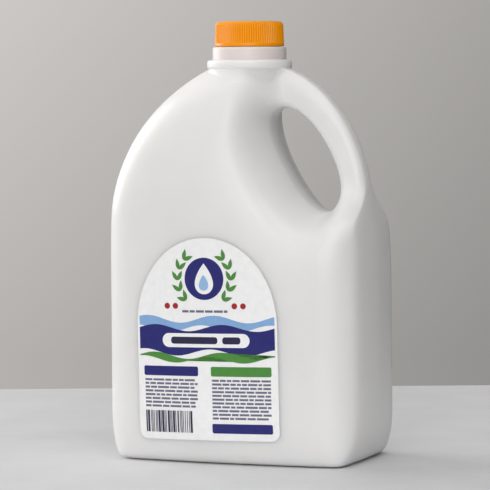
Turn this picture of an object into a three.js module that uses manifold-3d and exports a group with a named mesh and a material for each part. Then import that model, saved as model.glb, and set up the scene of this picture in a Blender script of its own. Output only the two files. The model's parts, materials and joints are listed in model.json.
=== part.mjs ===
// A plastic milk jug with a moulded side handle, a ribbed screw cap and an arched front label.
// Millimetres. X runs across the front, Y runs front to back, Z is up. The jug stands on Z = 0.

import * as THREE from 'three';
import { mergeVertices } from 'three/addons/utils/BufferGeometryUtils.js';
import Module from 'manifold-3d';

// Body: a rounded box below, an arch above
const BASE_HALF_WIDTH = 74.2;
const SHOULDER_HALF_WIDTH = 73.8;
const HALF_DEPTH = 48.0;
const FACE_BOW = 3.8;
const FACE_BOW_AT = 55.4;
const CORNER_RADIUS = 16.0;
const SIDE_BOW = 5.0;
const SIDE_BOW_FADE_START_Z = 122.0;
const SIDE_BOW_FADE_END_Z = 182.0;
const BASE_EDGE_INSET = 8.2;
const BASE_EDGE_HEIGHT = 27.7;
const BASE_CORNER_EASE = 7.0;
const ARCH_START_Z = 142.0;
const ARCH_HEIGHT = 87.8;
const ARCH_POWER = 1.96;
const ARCH_END = 1.26;
const LEAN_START_Z = 138.6;
const LEAN_HEIGHT = 101.0;
const SHOULDER_ROUND = 23.8;
const SHOULDER_ROUND_EXTRA = 8.0;
const SHOULDER_DROP = 8.0;
const SHOULDER_DROP_END = 0.35;

// Handle: the outer end of the arch, left standing by the hole and the recess round it
const HANDLE_ARCH_POWER = 2.05;
const HANDLE_EDGE_RADIUS = 4.6;
const HANDLE_ROOT_Z = 120.0;
const HANDLE_FREE_Z = 144.0;
const HANDLE_TOP_START_Z = 190.0;
const HANDLE_TOP_REACH = 9.0;
const HANDLE_WALL = 8.5;
const HOLE_CENTRE = new THREE.Vector2(35.9, 173.0);
const HOLE_HALF_LENGTH = 33.3;
const HOLE_HALF_WIDTH = 14.6;
const HOLE_POWER = 2.23;
const HOLE_TILT = THREE.MathUtils.degToRad(30);
const HOLE_BEND = 1.45;
const HOLE_LAND = 6.4;
const HOLE_EDGE_RADIUS = 3.0;
const RECESS_HALF_LENGTH = 53.0;
const RECESS_HALF_WIDTH = 30.0;
const RECESS_SHIFT = -1.5;
const RECESS_FLOOR = 8.1;
const RECESS_CREASE = 17.0;
const RECESS_PULL = 1.0;
const RECESS_ROLL = 1.2;
const RECESS_RUN_ON = 3.0;
const RECESS_FADE_BELOW = [-0.08, 0.67];
const RECESS_FADE_ABOVE = [-0.45, 0.35];
const RECESS_FADE_TURN = 15.0;
const RECESS_FADE_CORE = 5.0;

// Neck, turned about Z
const NECK_ROOT_Z = 210.0;
const NECK_ROOT_RADIUS = 21.0;
const COLLAR_RADIUS = 24.55;
const COLLAR_BOTTOM_Z = 224.9;
const COLLAR_TOP_Z = 230.2;
const NECK_RING_RADIUS = 21.35;
const NECK_RING_TOP_Z = 237.7;
const FINISH_RADIUS = 18.2;
const NECK_EDGE_RADIUS = 0.9;

// Cap: a ribbed cup over the neck's finish
const GAP = 0.3;
const CAP_RADIUS = 20.0;
const CAP_TOP_Z = 252.4;
const CAP_TOP_ROUND = 2.6;
const CAP_TOP_THICKNESS = 1.7;
const CAP_LIP_HEIGHT = 1.5;
const CAP_RIBS = 90;
const CAP_RIB_DEPTH = 0.45;
const CAP_TAPER = 0.35;

// Label: a thin arch-topped sheet that follows the bowed front
const LABEL_CENTRE_X = -9.1;
const LABEL_HALF_WIDTH = 43.3;
const LABEL_BOTTOM_Z = 14.4;
const LABEL_SPRING_Z = 80.0;
const LABEL_TOP_Z = 129.7;
const LABEL_CORNER_RADIUS = 5.0;
const LABEL_TURN = THREE.MathUtils.degToRad(1.0);
const LABEL_THICKNESS = 0.3;

// How finely each stretch is faceted, and how the facets' lines run from the outline to the hole
const OUTLINE_STEPS = { bottom: 6, corner: 5, wall: 13, handle: 21, top: 8, shoulder: 16, leftWall: 5 };
const FILLET_STEPS = 5;
const FACE_STEPS = 5;
const RECESS_STEPS = 6;
const EDGE_STEPS = 3;
const NECK_SEGMENTS = 40;
const WALL_BUNCHING = 1.5;
const HOLE_LINE_STRETCH = 1.5;
const HOLE_LINE_EVENING = 0.15;
const RIM_LINE_LIMIT = 0.85;
const LABEL_COLUMNS = 32;
const LABEL_ROWS = 8;

const { clamp, lerp, smoothstep, smootherstep } = THREE.MathUtils;

// Raises a value to a power and keeps its sign
function signedPower(value, power) {
  return Math.sign(value) * Math.abs(value) ** power;
}

// Half the depth of the plain body, without the recess
function bodyDepth(x, z) {
  const climb = clamp((z - LEAN_START_Z) / LEAN_HEIGHT, 0, 1);
  const lean = Math.sqrt(1 - climb * climb);
  return (HALF_DEPTH - FACE_BOW * (x / FACE_BOW_AT) ** 2) * lean;
}

// Half the depth of the front face near the base, where its lower edge is rounded
function frontDepth(x, z) {
  const drop = clamp(1 - z / BASE_EDGE_HEIGHT, 0, 1);
  return bodyDepth(x, z) - BASE_EDGE_INSET * (1 - Math.sqrt(1 - drop * drop));
}

// A point's place along and across the slanted hole
function holePlace(x, z) {
  const dx = x - HOLE_CENTRE.x;
  const dz = z - HOLE_CENTRE.y;
  const along = -dx * Math.sin(HOLE_TILT) + dz * Math.cos(HOLE_TILT);
  const across = dx * Math.cos(HOLE_TILT) + dz * Math.sin(HOLE_TILT);
  return { along, across };
}

// How far a point is from the hole's middle: 1 on the hole's outline
function holeRadius(x, z) {
  const { along, across } = holePlace(x, z);
  const u = along / HOLE_HALF_LENGTH;
  const bend = HOLE_BEND * (1 - clamp(u, -1, 1) ** 2);
  const v = (across - bend) / HOLE_HALF_WIDTH;
  return (Math.abs(u) ** HOLE_POWER + Math.abs(v) ** HOLE_POWER) ** (1 / HOLE_POWER);
}

// A point on the hole's outline, or on that outline grown outward
function holePoint(angle, grow) {
  const halfLength = HOLE_HALF_LENGTH + grow;
  const u = signedPower(Math.cos(angle), 2 / HOLE_POWER);
  const v = signedPower(Math.sin(angle), 2 / HOLE_POWER);
  const along = halfLength * u;
  const across = (HOLE_HALF_WIDTH + grow) * v + HOLE_BEND * (1 - u * u);
  return new THREE.Vector2(
    HOLE_CENTRE.x + across * Math.cos(HOLE_TILT) - along * Math.sin(HOLE_TILT),
    HOLE_CENTRE.y + across * Math.sin(HOLE_TILT) + along * Math.cos(HOLE_TILT),
  );
}

// A point measured from the recess's middle, in units of the recess's size
function recessPlace(x, z) {
  const { along, across } = holePlace(x, z);
  return new THREE.Vector2(along / RECESS_HALF_LENGTH, (across - RECESS_SHIFT) / RECESS_HALF_WIDTH);
}

// Half the depth of the recess. It rises from its floor at the hole to the face at its rim, but
// not on the handle's side, where the floor runs on as the handle's front.
function recessDepth(x, z) {
  const fromHole = Math.max(holeRadius(x, z) - 1, 0.001);
  const toRim = RECESS_PULL * (1 - recessPlace(x, z).length());
  const way = toRim > 0 ? fromHole / (fromHole + toRim) : Math.min(1 - toRim / fromHole, RECESS_RUN_ON);
  const rise = way < 1 ? 1 - (1 - way) ** RECESS_ROLL : way;
  const { along, across } = holePlace(x, z);
  const side = across / Math.hypot(along, across, RECESS_FADE_CORE);
  const above = smoothstep(along, -RECESS_FADE_TURN, RECESS_FADE_TURN);
  const fadeStart = lerp(RECESS_FADE_BELOW[0], RECESS_FADE_ABOVE[0], above);
  const fadeEnd = lerp(RECESS_FADE_BELOW[1], RECESS_FADE_ABOVE[1], above);
  const share = 1 - smootherstep(side, fadeStart, fadeEnd);
  return RECESS_FLOOR + (HALF_DEPTH - RECESS_FLOOR) * rise * share;
}

// Half the depth of the skin: the lesser of body and recess, with a soft crease between them
function skinDepth(x, z) {
  const body = bodyDepth(x, z);
  const recess = recessDepth(x, z);
  const overlap = Math.max(RECESS_CREASE - Math.abs(body - recess), 0);
  return Math.min(body, recess) - overlap ** 2 / (4 * RECESS_CREASE);
}

// The arch's outline, from the wall at angle 0 up to the neck. A higher power makes it fuller.
function archPoint(angle, archPower) {
  const power = 2 / archPower;
  return new THREE.Vector2(
    SHOULDER_HALF_WIDTH * Math.cos(angle) ** power,
    ARCH_START_Z + ARCH_HEIGHT * Math.sin(angle) ** power,
  );
}

// The rounding of the right-hand edge: large on the wall, small on the handle, and reaching
// further in where the handle runs into the neck
function rightEdge(z) {
  const handle = smoothstep(z, HANDLE_ROOT_Z, HANDLE_FREE_Z);
  const neck = smoothstep(z, HANDLE_TOP_START_Z, COLLAR_BOTTOM_Z);
  const radius = lerp(CORNER_RADIUS, HANDLE_EDGE_RADIUS, handle);
  return { reach: lerp(radius, HANDLE_TOP_REACH, neck), radius };
}

// How far the side walls swell out at mid-depth: fully below, not at all on the arch
function sideBow(z) {
  return SIDE_BOW * (1 - smoothstep(z, SIDE_BOW_FADE_START_Z, SIDE_BOW_FADE_END_Z));
}

// Stations round the jug's outline in the XZ plane. At each, outer is the outline, inner is where
// the rounded edge ends on the face, and radius is that edge's size in depth. On the handle the flat
// side that the edge leaves is at most so deep, and under the collar it follows the collar's circle.
function outlineStations() {
  const stations = [];
  const point = (x, z) => new THREE.Vector2(x, z);
  const stretch = (steps, make) => {
    for (let k = 0; k < steps; k += 1) {
      stations.push(make(k / steps));
    }
  };
  const flatOuter = BASE_HALF_WIDTH - BASE_EDGE_INSET;
  const flatInner = BASE_HALF_WIDTH - CORNER_RADIUS - BASE_CORNER_EASE;
  const easeTop = BASE_EDGE_HEIGHT + BASE_CORNER_EASE;
  const archEnd = archPoint(ARCH_END, ARCH_POWER);

  // One base corner, at the right for side 1 and at the left for side -1
  const baseCorner = (side, turn, blend) => {
    const across = Math.sin(turn);
    const down = Math.cos(turn);
    return {
      outer: point(side * (flatOuter + BASE_EDGE_INSET * across), BASE_EDGE_HEIGHT * (1 - down)),
      inner: point(side * (flatInner + BASE_CORNER_EASE * across), easeTop - BASE_CORNER_EASE * down),
      radius: lerp(BASE_EDGE_INSET, CORNER_RADIUS, smoothstep(blend, 0, 1)),
      bow: side * SIDE_BOW * across,
    };
  };

  stretch(OUTLINE_STEPS.bottom, (t) => ({
    outer: point(lerp(-flatOuter, flatOuter, t), 0),
    inner: point(lerp(-flatInner, flatInner, t), BASE_EDGE_HEIGHT),
    radius: BASE_EDGE_INSET,
  }));

  stretch(OUTLINE_STEPS.corner, (t) => baseCorner(1, (t * Math.PI) / 2, t));

  // Stations draw together towards the top of the wall, where the handle starts
  stretch(OUTLINE_STEPS.wall, (t) => {
    const climb = 1 - (1 - t) ** WALL_BUNCHING;
    const outer = point(
      lerp(BASE_HALF_WIDTH, SHOULDER_HALF_WIDTH, climb),
      lerp(BASE_EDGE_HEIGHT, ARCH_START_Z, climb),
    );
    const { reach, radius } = rightEdge(outer.y);
    const inner = point(outer.x - reach, lerp(easeTop, ARCH_START_Z, climb));
    return { outer, inner, radius, bow: sideBow(outer.y) };
  });

  const handleStation = (t) => {
    const angle = ARCH_END * t;
    const outer = archPoint(angle, HANDLE_ARCH_POWER);
    const { reach, radius } = rightEdge(outer.y);
    const inward = point(-Math.cos(angle) / SHOULDER_HALF_WIDTH, -Math.sin(angle) / ARCH_HEIGHT);
    const most = outer.y > HANDLE_TOP_START_Z ? HANDLE_WALL : Infinity;
    return { outer, inner: inward.setLength(reach).add(outer), radius, most, bow: sideBow(outer.y) };
  };
  stretch(OUTLINE_STEPS.handle, handleStation);

  // Under the collar, where the inner rail swings from the handle to the shoulder
  const topRight = handleStation(1);
  const topLeft = point(SHOULDER_ROUND - archEnd.x, archEnd.y - SHOULDER_DROP);
  stretch(OUTLINE_STEPS.top, (t) => {
    const outer = topRight.outer.clone().lerp(point(-archEnd.x, archEnd.y), t);
    const depth = Math.sqrt((COLLAR_RADIUS - GAP) ** 2 - outer.x ** 2);
    return { outer, inner: topRight.inner.clone().lerp(topLeft, t), depth };
  });

  stretch(OUTLINE_STEPS.shoulder, (t) => {
    const arch = archPoint(ARCH_END * (1 - t), ARCH_POWER);
    const swell = SHOULDER_ROUND_EXTRA * Math.sin(Math.PI * Math.sqrt(t)) ** 2;
    const radius = lerp(SHOULDER_ROUND, CORNER_RADIUS, t) + swell;
    const drop = SHOULDER_DROP * (1 - smoothstep(t, 0, SHOULDER_DROP_END));
    const inner = point(radius - arch.x, arch.y - drop);
    return { outer: point(-arch.x, arch.y), inner, radius, bow: -sideBow(arch.y) };
  });

  stretch(OUTLINE_STEPS.leftWall, (t) => {
    const outer = point(
      -lerp(SHOULDER_HALF_WIDTH, BASE_HALF_WIDTH, t),
      lerp(ARCH_START_Z, BASE_EDGE_HEIGHT, t),
    );
    const inner = point(outer.x + CORNER_RADIUS, lerp(ARCH_START_Z, easeTop, t));
    return { outer, inner, radius: CORNER_RADIUS, bow: -sideBow(outer.y) };
  });

  stretch(OUTLINE_STEPS.corner, (t) => baseCorner(-1, ((1 - t) * Math.PI) / 2, 1 - t));
  return stations;
}

// The hole's angle at each station: mostly the way the station lies, partly an even share
function holeAngles(stations) {
  const angles = [];
  for (const { outer } of stations) {
    const { along, across } = holePlace(outer.x, outer.y);
    let angle = Math.atan2(across * HOLE_LINE_STRETCH, along);
    const last = angles.at(-1) ?? angle;
    angle += 2 * Math.PI * Math.round((last - angle) / (2 * Math.PI));
    angles.push(angle);
  }
  const way = Math.sign(angles.at(-1) - angles[0]);
  const even = angles.map((_, k) => (way * 2 * Math.PI * k) / angles.length);
  const shift = angles.reduce((sum, angle, k) => sum + angle - even[k], 0) / angles.length;
  return angles.map((angle, k) => lerp(angle, even[k] + shift, HOLE_LINE_EVENING));
}

// How far along the line from the hole's edge to the face's edge the recess's rim is, up to a limit
function rimCrossing(from, to) {
  const start = recessPlace(from.x, from.y);
  const run = recessPlace(to.x, to.y).sub(start);
  const a = run.lengthSq();
  const b = start.dot(run);
  const c = start.lengthSq() - 1;
  return Math.min((-b + Math.sqrt(b * b - a * c)) / a, RIM_LINE_LIMIT);
}

// The skin's rings on the front half, from the outline in to the hole. Each ring is a list of
// points (x, half depth, z), one for each station.
function skinRings() {
  const stations = outlineStations();
  const angles = holeAngles(stations);
  const lines = stations.map((station, k) => {
    const hole = holePoint(angles[k], 0);
    const lip = holePoint(angles[k], HOLE_EDGE_RADIUS);
    const rim = lip.clone().lerp(station.inner, rimCrossing(lip, station.inner));
    const full = skinDepth(station.inner.x, station.inner.y);
    const wall = station.depth ?? clamp(full - station.radius, 0, station.most ?? Infinity);
    const bow = (station.bow ?? 0) * (full / HALF_DEPTH) ** 2;
    return { ...station, hole, lip, rim, full, wall, bow };
  });

  const rings = [];
  const ring = (place) => rings.push(lines.map(place));
  const onSkin = (from, to, t) => {
    const q = from.clone().lerp(to, t);
    return new THREE.Vector3(q.x, skinDepth(q.x, q.y), q.y);
  };
  // A rounded edge: from a flat side at a given depth, round on to the skin
  const onEdge = (from, to, side, turn) => {
    const q = onSkin(from, to, 1 - Math.cos(turn));
    q.y = lerp(side, q.y, Math.sin(turn));
    return q;
  };

  // The side swells most at mid-depth and not at all where the rounded edge meets the face
  const bowed = (point, { full, bow }) => {
    point.x += bow * (1 - Math.min(point.y / full, 1) ** 2);
    return point;
  };

  ring((line) => bowed(new THREE.Vector3(line.outer.x, 0, line.outer.y), line));
  ring((line) => bowed(new THREE.Vector3(line.outer.x, line.wall / 2, line.outer.y), line));
  for (let k = 0; k <= FILLET_STEPS; k += 1) {
    const turn = ((k / FILLET_STEPS) * Math.PI) / 2;
    ring((line) => bowed(onEdge(line.outer, line.inner, line.wall, turn), line));
  }
  for (let k = 1; k <= FACE_STEPS; k += 1) {
    ring(({ inner, rim }) => onSkin(inner, rim, k / FACE_STEPS));
  }
  for (let k = 1; k <= RECESS_STEPS; k += 1) {
    ring(({ rim, lip }) => onSkin(rim, lip, k / RECESS_STEPS));
  }
  for (let k = EDGE_STEPS - 1; k >= 0; k -= 1) {
    const turn = ((k / EDGE_STEPS) * Math.PI) / 2;
    ring(({ hole, lip }) => onEdge(hole, lip, HOLE_LAND, turn));
  }
  ring(({ hole }) => new THREE.Vector3(hole.x, 0, hole.y));
  return rings;
}

// A mesh from rows of points. Rows and columns can each close on themselves.
function gridGeometry(rows, closeRows, closeColumns) {
  const count = rows[0].length;
  const geometry = new THREE.BufferGeometry().setFromPoints(rows.flat());
  const index = [];
  const rowSteps = closeRows ? rows.length : rows.length - 1;
  const columnSteps = closeColumns ? count : count - 1;
  for (let r = 0; r < rowSteps; r += 1) {
    for (let k = 0; k < columnSteps; k += 1) {
      const a = r * count + k;
      const b = r * count + ((k + 1) % count);
      const c = ((r + 1) % rows.length) * count + ((k + 1) % count);
      const d = ((r + 1) % rows.length) * count + k;
      index.push(a, b, c, a, c, d);
    }
  }
  geometry.setIndex(index);
  return geometry;
}

const wasm = await Module();
wasm.setup();

function toSolid(geometry) {
  const plain = geometry.clone();
  plain.deleteAttribute('normal');
  plain.deleteAttribute('uv');
  const welded = mergeVertices(plain, 1e-4);
  return new wasm.Manifold(new wasm.Mesh({
    numProp: 3,
    vertProperties: new Float32Array(welded.attributes.position.array),
    triVerts: new Uint32Array(welded.index.array),
  }));
}

function toGeometry(solid) {
  const { vertProperties, triVerts } = solid.getMesh();
  const geometry = new THREE.BufferGeometry();
  geometry.setAttribute('position', new THREE.BufferAttribute(vertProperties, 3));
  geometry.setIndex(new THREE.BufferAttribute(triVerts, 1));
  geometry.computeVertexNormals();
  return geometry;
}

// The blow-moulded body: the front rings, then their mirror images back to the outline
function bodySolid() {
  const rings = skinRings();
  const front = rings.map((ring) => ring.map(({ x, y, z }) => new THREE.Vector3(x, -y, z)));
  const back = rings.slice(1, -1).reverse();
  return toSolid(gridGeometry([...front, ...back], true, true));
}

// The collar, the ring above it and the plain finish under the cap, as one turned solid
function neckSolid() {
  const outline = new THREE.Path();
  const finishTop = CAP_TOP_Z - CAP_TOP_THICKNESS - GAP;
  const edge = NECK_EDGE_RADIUS;
  outline.moveTo(0, NECK_ROOT_Z);
  outline.lineTo(NECK_ROOT_RADIUS, NECK_ROOT_Z);
  outline.lineTo(COLLAR_RADIUS - edge, COLLAR_BOTTOM_Z);
  outline.absarc(COLLAR_RADIUS - edge, COLLAR_BOTTOM_Z + edge, edge, -Math.PI / 2, 0);
  outline.absarc(COLLAR_RADIUS - edge, COLLAR_TOP_Z - edge, edge, 0, Math.PI / 2);
  outline.lineTo(NECK_RING_RADIUS, COLLAR_TOP_Z);
  outline.absarc(NECK_RING_RADIUS - edge, NECK_RING_TOP_Z - edge, edge, 0, Math.PI / 2);
  outline.lineTo(FINISH_RADIUS, NECK_RING_TOP_Z);
  outline.lineTo(FINISH_RADIUS, finishTop);
  outline.lineTo(0, finishTop);
  const lathe = new THREE.LatheGeometry(outline.getPoints(3), NECK_SEGMENTS);
  return toSolid(lathe.rotateX(Math.PI / 2));
}

function jugGeometry() {
  return toGeometry(bodySolid().add(neckSolid()));
}

// The cap's wall is a ring of ribs: every second column is a crest
function capGeometry() {
  const bottomZ = NECK_RING_TOP_Z + GAP;
  const ribBottomZ = bottomZ + CAP_LIP_HEIGHT;
  const ribTopZ = CAP_TOP_Z - CAP_TOP_ROUND;
  const topRadius = CAP_RADIUS - CAP_TAPER;
  const innerRadius = FINISH_RADIUS + GAP;
  const columns = 2 * CAP_RIBS;
  const row = (radius, z, ribDepth) => Array.from({ length: columns }, (_, k) => {
    const angle = (2 * Math.PI * k) / columns;
    const r = k % 2 === 0 ? radius : radius - ribDepth;
    return new THREE.Vector3(r * Math.cos(angle), r * Math.sin(angle), z);
  });
  const rounded = (turn) => row(
    topRadius - CAP_TOP_ROUND * (1 - Math.cos(turn)),
    ribTopZ + CAP_TOP_ROUND * Math.sin(turn),
    CAP_RIB_DEPTH * Math.cos(turn) ** 2,
  );
  const rows = [
    row(0, CAP_TOP_Z - CAP_TOP_THICKNESS, 0),
    row(innerRadius, CAP_TOP_Z - CAP_TOP_THICKNESS, 0),
    row(innerRadius, bottomZ, 0),
    row(CAP_RADIUS, bottomZ, 0),
    row(CAP_RADIUS, ribBottomZ, 0),
    row(CAP_RADIUS, ribBottomZ + CAP_RIB_DEPTH, CAP_RIB_DEPTH),
    row(topRadius, ribTopZ, CAP_RIB_DEPTH),
    rounded(Math.PI / 6),
    rounded(Math.PI / 3),
    rounded(Math.PI / 2),
    row(0, CAP_TOP_Z, 0),
  ];
  return toGeometry(toSolid(gridGeometry(rows, false, true)));
}

// A point of the label's sheet: u runs across from -1 to 1, v up from 0 to 1
function labelPoint(u, v, offset) {
  const across = LABEL_HALF_WIDTH * u;
  const beyond = Math.max(Math.abs(across) - (LABEL_HALF_WIDTH - LABEL_CORNER_RADIUS), 0);
  const corner = LABEL_CORNER_RADIUS - Math.sqrt(LABEL_CORNER_RADIUS ** 2 - beyond ** 2);
  const low = LABEL_BOTTOM_Z + corner;
  const high = LABEL_SPRING_Z + (LABEL_TOP_Z - LABEL_SPRING_Z) * Math.sqrt(1 - u * u);
  const middleZ = (LABEL_BOTTOM_Z + LABEL_TOP_Z) / 2;
  const place = new THREE.Vector2(across, lerp(low, high, v) - middleZ);
  place.rotateAround(new THREE.Vector2(), LABEL_TURN);
  const x = LABEL_CENTRE_X + place.x;
  const z = middleZ + place.y;
  return new THREE.Vector3(x, -frontDepth(x, z) - offset, z);
}

// The label's outer face and inner face, joined round all four edges
function labelGeometry() {
  const columns = Array.from({ length: LABEL_COLUMNS + 1 }, (_, k) => (
    Math.sin(Math.PI * (k / LABEL_COLUMNS - 0.5))
  ));
  const sheet = (offset) => Array.from({ length: LABEL_ROWS + 1 }, (_, r) => (
    columns.map((u) => labelPoint(u, r / LABEL_ROWS, offset))
  ));
  const outer = sheet(GAP + LABEL_THICKNESS);
  const inner = sheet(GAP);
  // Each row goes across the outer face and comes back along the inner face
  const loops = outer.map((row, r) => [...row, ...inner[r].toReversed()]);
  const wall = gridGeometry(loops, false, true);
  const index = [...wall.index.array];
  const across = LABEL_COLUMNS + 1;
  const closeEdge = (first, flip) => {
    for (let k = 0; k < LABEL_COLUMNS; k += 1) {
      const a = first + k;
      const b = first + k + 1;
      const c = first + 2 * across - 2 - k;
      const d = first + 2 * across - 1 - k;
      index.push(...(flip ? [a, c, b, a, d, c] : [a, b, c, a, c, d]));
    }
  };
  closeEdge(0, true);
  closeEdge(LABEL_ROWS * 2 * across, false);
  wall.setIndex(index);
  return toGeometry(toSolid(wall));
}

function part(name, geometry, look) {
  const mesh = new THREE.Mesh(geometry, new THREE.MeshStandardMaterial({ metalness: 0, ...look }));
  mesh.name = name;
  return mesh;
}

const milkJug = new THREE.Group();
milkJug.name = 'milk_jug';
milkJug.add(
  part('jug', jugGeometry(), { color: 0xf2f2ec, roughness: 0.4 }),
  part('cap', capGeometry(), { color: 0xf08c0a, roughness: 0.45 }),
  part('label', labelGeometry(), { color: 0xeeeff1, roughness: 0.35 }),
);

export default milkJug;
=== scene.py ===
# %% [markdown]
# # Dressing a plastic milk jug
#
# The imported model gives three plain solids: the jug, its screw cap and its label. This lesson gives each
# of them its fine shape and its finish, and then lights the jug as for a product picture. A jug like this
# is blow-moulded, so its form is all soft transitions. The way of working follows from that: the form is
# a small set of formulas, sampled finely enough that the surface reads as one smooth skin.
#
# Shapes are worked out in millimetres and turned into Blender's metres when a mesh is made.

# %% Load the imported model
import json
import math
import random
from dataclasses import dataclass

import bmesh
import bpy
import numpy as np
from mathutils import Matrix, Vector

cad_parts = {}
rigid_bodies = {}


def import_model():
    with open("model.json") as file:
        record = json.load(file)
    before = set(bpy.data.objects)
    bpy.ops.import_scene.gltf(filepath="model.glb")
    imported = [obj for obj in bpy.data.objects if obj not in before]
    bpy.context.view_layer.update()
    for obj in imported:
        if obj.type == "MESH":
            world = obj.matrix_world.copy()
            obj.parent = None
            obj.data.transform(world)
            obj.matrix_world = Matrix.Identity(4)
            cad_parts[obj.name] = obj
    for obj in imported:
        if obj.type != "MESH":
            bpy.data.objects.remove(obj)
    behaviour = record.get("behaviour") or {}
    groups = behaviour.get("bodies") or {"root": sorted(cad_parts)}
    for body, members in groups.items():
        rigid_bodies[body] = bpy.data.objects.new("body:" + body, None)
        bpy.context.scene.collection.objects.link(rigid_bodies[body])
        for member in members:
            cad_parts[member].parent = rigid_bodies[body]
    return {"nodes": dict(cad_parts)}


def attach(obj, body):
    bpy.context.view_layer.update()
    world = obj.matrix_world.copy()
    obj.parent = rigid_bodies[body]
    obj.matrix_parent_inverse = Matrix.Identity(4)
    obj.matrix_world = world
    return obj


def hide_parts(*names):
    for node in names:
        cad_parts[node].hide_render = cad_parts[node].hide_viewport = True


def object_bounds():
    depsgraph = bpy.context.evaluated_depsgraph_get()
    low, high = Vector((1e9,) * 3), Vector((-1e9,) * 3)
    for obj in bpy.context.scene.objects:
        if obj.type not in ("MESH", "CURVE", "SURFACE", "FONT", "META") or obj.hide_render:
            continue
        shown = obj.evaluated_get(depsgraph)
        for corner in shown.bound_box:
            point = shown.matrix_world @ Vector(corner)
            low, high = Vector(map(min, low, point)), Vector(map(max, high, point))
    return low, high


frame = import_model()
cad_low, cad_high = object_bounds()
MM = 0.001

print("nodes:", sorted(frame["nodes"]))
print("size in mm:", [round(side / MM, 1) for side in cad_high - cad_low])

# %% [markdown]
# ## Two mesh makers
#
# Nearly every piece here is a grid of points: rows that go round, one after another. One helper turns
# such rows into a mesh, and another turns a mesh into a piece that rides on the jug. A modelling tool
# such as Spin or Skin could make some of these shapes, but a grid from formulas keeps the quads even and
# the result the same every time.

# %% Helpers for meshes and pieces
WELD = 0.001
DEGENERATE_SHARE = 0.1
SHARP_ANGLE = math.radians(40)


def grid_mesh(name, rows, close_rows=False):
    """A mesh from rows of points in millimetres. Each row is a loop, and the rows can make a loop too."""
    row_count = len(rows)
    column_count = len(rows[0])
    points = [Vector(point) * MM for row in rows for point in row]
    faces = []
    for r in range(row_count if close_rows else row_count - 1):
        for k in range(column_count):
            next_r = (r + 1) % row_count
            next_k = (k + 1) % column_count
            faces.append((
                r * column_count + k,
                r * column_count + next_k,
                next_r * column_count + next_k,
                next_r * column_count + k,
            ))
    mesh = bpy.data.meshes.new(name)
    mesh.from_pydata(points, [], faces)
    return mesh


def clean_mesh(mesh, weld=WELD):
    """Joins points that coincide, turns every face outward and shades the mesh smooth up to an angle."""
    work = bmesh.new()
    work.from_mesh(mesh)
    bmesh.ops.remove_doubles(work, verts=work.verts, dist=weld * MM)
    bmesh.ops.dissolve_degenerate(work, edges=work.edges, dist=DEGENERATE_SHARE * weld * MM)
    bmesh.ops.recalc_face_normals(work, faces=work.faces)
    work.to_mesh(mesh)
    work.free()
    mesh.shade_smooth()
    mesh.set_sharp_from_angle(angle=SHARP_ANGLE)
    return mesh


def add_piece(mesh, slot, *replaced):
    """Puts a mesh in the scene as a piece of the jug."""
    piece = bpy.data.objects.new(mesh.name, mesh)
    bpy.context.scene.collection.objects.link(piece)
    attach(piece, "root")
    if replaced:
        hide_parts(*replaced)
    return piece


def clamp(value, low, high):
    return min(max(value, low), high)


def lerp(start, end, t):
    return start + (end - start) * t


def smoothstep(value, low, high):
    t = clamp((value - low) / (high - low), 0.0, 1.0)
    return t * t * (3 - 2 * t)


def smootherstep(value, low, high):
    t = clamp((value - low) / (high - low), 0.0, 1.0)
    return t ** 3 * (t * (6 * t - 15) + 10)


print("helpers ready, smoothstep halfway:", smoothstep(0.5, 0, 1))

# %% [markdown]
# ## The body's depth
#
# Seen from the front, the jug is a rounded box with an arch on top. Seen from the side, it is 96 mm deep
# at the bottom and leans in towards the neck. So one number says most of it: half the depth at each place
# of the front view. The handle comes from the same number. A slanted hole is cut through the arch, and
# round the hole the skin sinks into a recess, so that a bar is left standing at the outside. It could be
# sculpted or cut with booleans, but a depth formula gives the soft crease at the recess's rim for
# nothing.

# %% Half the depth of the skin
HALF_DEPTH = 48.0
FACE_BOW = 3.8
FACE_BOW_AT = 55.4
LEAN_START_Z = 138.6
LEAN_HEIGHT = 101.0

HOLE_CENTRE = Vector((35.9, 173.0))
HOLE_HALF_LENGTH = 33.3
HOLE_HALF_WIDTH = 14.6
HOLE_POWER = 2.23
HOLE_TILT = math.radians(30)
HOLE_BEND = 1.45
HOLE_NEARNESS = 0.001

RECESS_HALF_LENGTH = 53.0
RECESS_HALF_WIDTH = 30.0
RECESS_SHIFT = -1.5
RECESS_FLOOR = 8.1
RECESS_CREASE = 17.0
RECESS_ROLL = 1.2
RECESS_RUN_ON = 3.0
RECESS_FADE_BELOW = Vector((-0.08, 0.67))
RECESS_FADE_ABOVE = Vector((-0.45, 0.35))
RECESS_FADE_TURN = 15.0
RECESS_FADE_CORE = 5.0


def body_depth(x, z):
    """Half the depth of the plain body, bowed across and leaning in above."""
    climb = clamp((z - LEAN_START_Z) / LEAN_HEIGHT, 0.0, 1.0)
    return (HALF_DEPTH - FACE_BOW * (x / FACE_BOW_AT) ** 2) * math.sqrt(1 - climb * climb)


def hole_place(x, z):
    """A point's place along and across the slanted hole."""
    dx = x - HOLE_CENTRE.x
    dz = z - HOLE_CENTRE.y
    along = -dx * math.sin(HOLE_TILT) + dz * math.cos(HOLE_TILT)
    across = dx * math.cos(HOLE_TILT) + dz * math.sin(HOLE_TILT)
    return along, across


def hole_radius(along, across):
    """How far a point is from the hole's middle: 1 on the hole's outline."""
    u = along / HOLE_HALF_LENGTH
    v = (across - HOLE_BEND * (1 - clamp(u, -1.0, 1.0) ** 2)) / HOLE_HALF_WIDTH
    return (abs(u) ** HOLE_POWER + abs(v) ** HOLE_POWER) ** (1 / HOLE_POWER)


def recess_place(x, z):
    """A point measured from the recess's middle, in units of the recess's size."""
    along, across = hole_place(x, z)
    return Vector((along / RECESS_HALF_LENGTH, (across - RECESS_SHIFT) / RECESS_HALF_WIDTH))


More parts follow.
